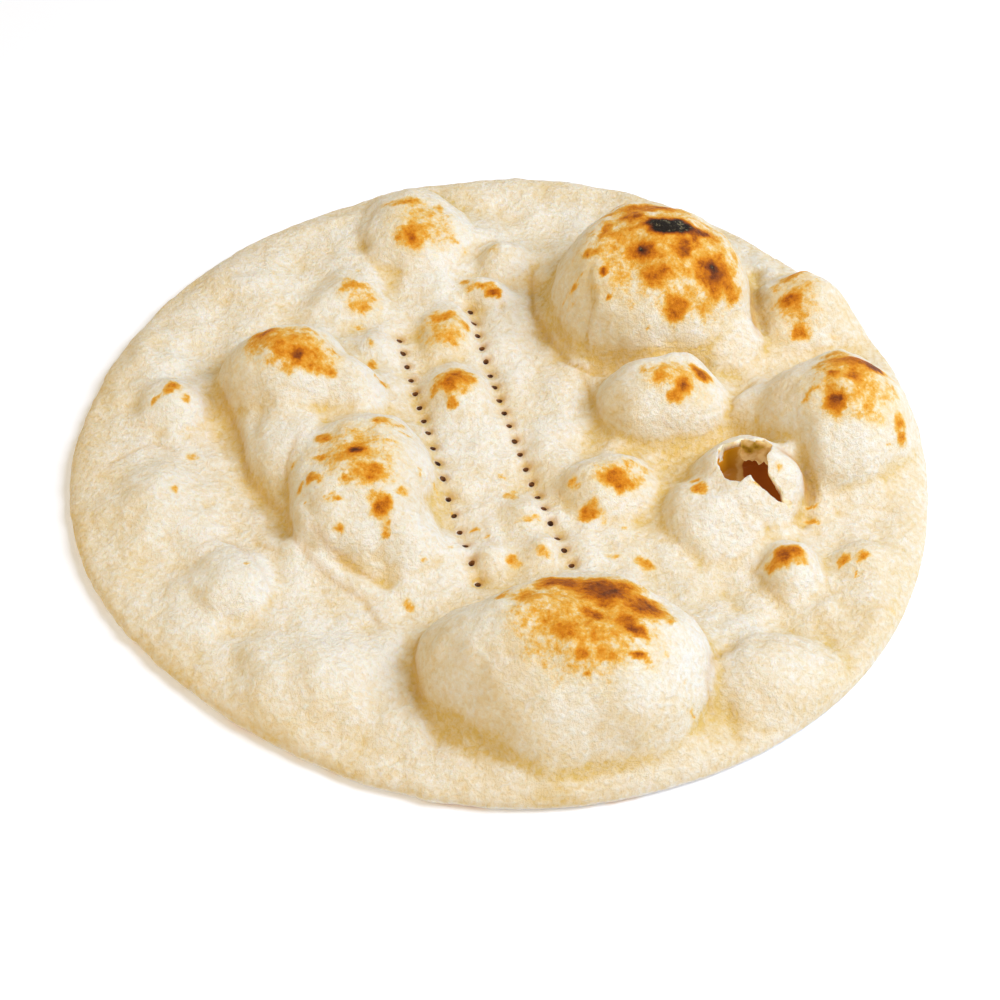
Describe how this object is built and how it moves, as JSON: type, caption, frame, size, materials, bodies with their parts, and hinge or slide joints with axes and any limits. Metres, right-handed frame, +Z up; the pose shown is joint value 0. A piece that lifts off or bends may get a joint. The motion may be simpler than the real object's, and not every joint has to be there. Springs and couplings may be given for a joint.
{
  "type": "naan bread",
  "caption": "Round hand-stretched naan bread, baked until it blistered, with toasted domes, a torn bubble and two rows of prick holes",
  "frame": {"origin": "on the resting plane, under the middle of the bread's outline", "axes": "+Z up out of the puffed top, +X to the right and +Y to the back as the picture shows the bread, with the largest dome at the front (-Y)"},
  "size_m": [0.335, 0.3352, 0.0523],
  "materials": {
    "crust": "baked white-flour crust, matte and slightly floury, toasted golden to dark brown on the tops of the blisters"
  },
  "bodies": {
    "root": {"naan": "crust"}
  },
  "joints": []
}
